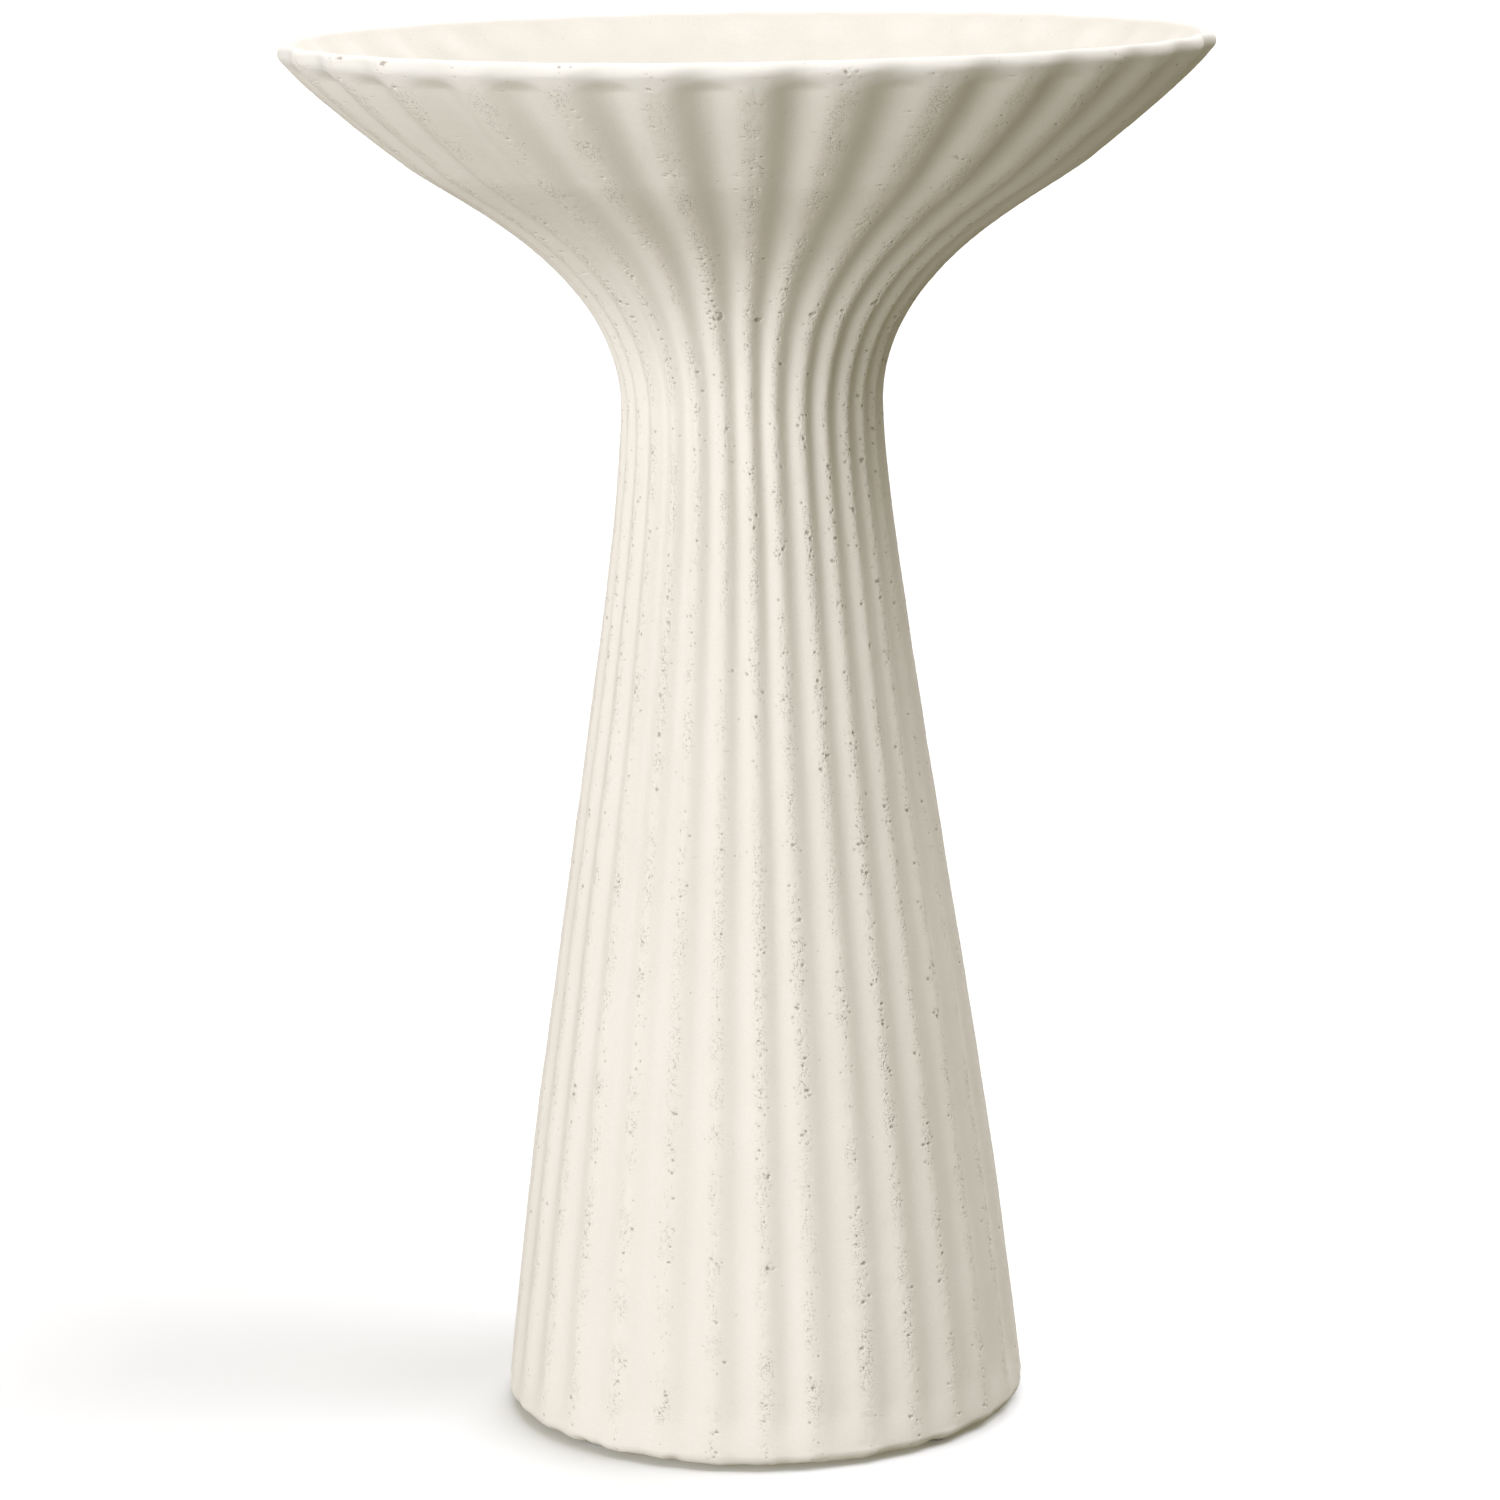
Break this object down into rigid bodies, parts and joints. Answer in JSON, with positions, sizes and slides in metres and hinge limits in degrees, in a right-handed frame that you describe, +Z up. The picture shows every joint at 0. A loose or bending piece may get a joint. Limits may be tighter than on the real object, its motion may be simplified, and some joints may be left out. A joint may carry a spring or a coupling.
{
  "type": "bird bath",
  "caption": "Fluted pedestal bird bath: a shallow flared bowl with a wavy rounded lip on a tapering hollow column, cast in off-white fibre cement.",
  "frame": {"origin": "on the floor, at the centre of the foot", "axes": "+Z up along the column's axis; -Y is the front, where one flute's crest faces; +X to the right seen from the front"},
  "size_m": [0.3834, 0.383, 0.58],
  "materials": {
    "fibre_cement": "matt, finely pitted along the flutes' crests",
    "mortar": "matt, sandy",
    "brass": "plain turned",
    "zinc_steel": "zinc plated",
    "stainless": "plain drawn",
    "rubber": "matt moulded"
  },
  "bodies": {
    "root": {"bowl": "fibre_cement", "pedestal": "fibre_cement", "mortar_bed": "mortar", "dowel_1": "stainless", "dowel_2": "stainless", "threaded_insert": "brass", "tie_rod": "zinc_steel", "plate_cushion": "rubber", "clamp_plate": "zinc_steel", "tie_washer": "zinc_steel", "tie_nut": "zinc_steel", "foot_pad_1": "rubber", "foot_pad_2": "rubber", "foot_pad_3": "rubber", "foot_pad_4": "rubber"}
  },
  "joints": []
}
